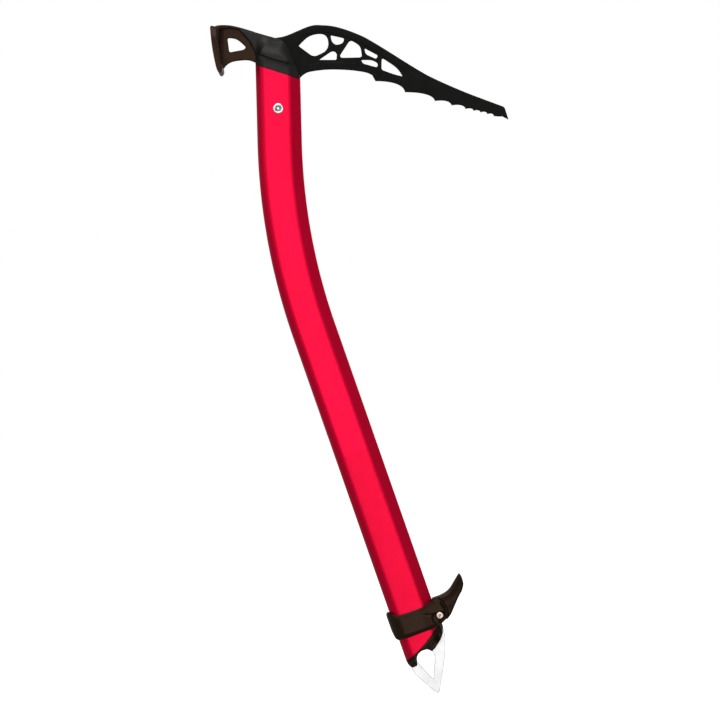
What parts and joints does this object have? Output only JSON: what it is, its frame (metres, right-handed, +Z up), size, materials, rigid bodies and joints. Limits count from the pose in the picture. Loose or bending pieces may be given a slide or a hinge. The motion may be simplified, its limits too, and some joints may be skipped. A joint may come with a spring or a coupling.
{
  "type": "ice axe",
  "caption": "Short technical ice axe with a bent metal shaft, toothed truss pick, small adze, sliding clamped hand rest and flat spike with a clip-in eye.",
  "frame": {"origin": "on the axis of the straight lower shaft, at the middle of the grip", "axes": "+Z up towards the head, +X towards the pick, Y across the shaft"},
  "size_m": [0.2123, 0.0378, 0.4758],
  "materials": {
    "anodised_aluminium": "red anodised, satin",
    "pick_steel": "black coated forged steel",
    "adze_steel": "black-brown coated forged steel",
    "hood_nylon": "moulded, fine texture",
    "plug_nylon": "moulded, fine texture",
    "rest_nylon": "moulded, semi-matt",
    "spike_stainless": "blasted stainless",
    "screw_stainless": "turned stainless",
    "rivet_steel": "bright stainless"
  },
  "bodies": {
    "axe": {"shaft": "anodised_aluminium", "pick": "pick_steel", "adze": "adze_steel", "head_hood": "hood_nylon", "tang_packer_left": "hood_nylon", "tang_packer_right": "hood_nylon", "head_rivet": "rivet_steel", "head_rivet_pin": "rivet_steel", "end_plug": "plug_nylon", "spike": "spike_stainless", "spike_pin": "rivet_steel"},
    "hand_rest": {"rest_band": "rest_nylon", "rest_horn": "rest_nylon", "rest_nut": "screw_stainless"},
    "clamp_screw": {"rest_screw": "screw_stainless"}
  },
  "joints": [
    {"name": "hand_rest_slide", "type": "slide", "parent": "axe", "child": "hand_rest", "axis": [-0.3305, 0, 0.9438], "range_m": [0, 0.15]},
    {"name": "clamp_screw_turn", "type": "hinge", "parent": "hand_rest", "child": "clamp_screw", "pos_m": [0.03456, 0, -0.04575], "axis": [0, -1, 0], "range_deg": [0, 720]}
  ]
}
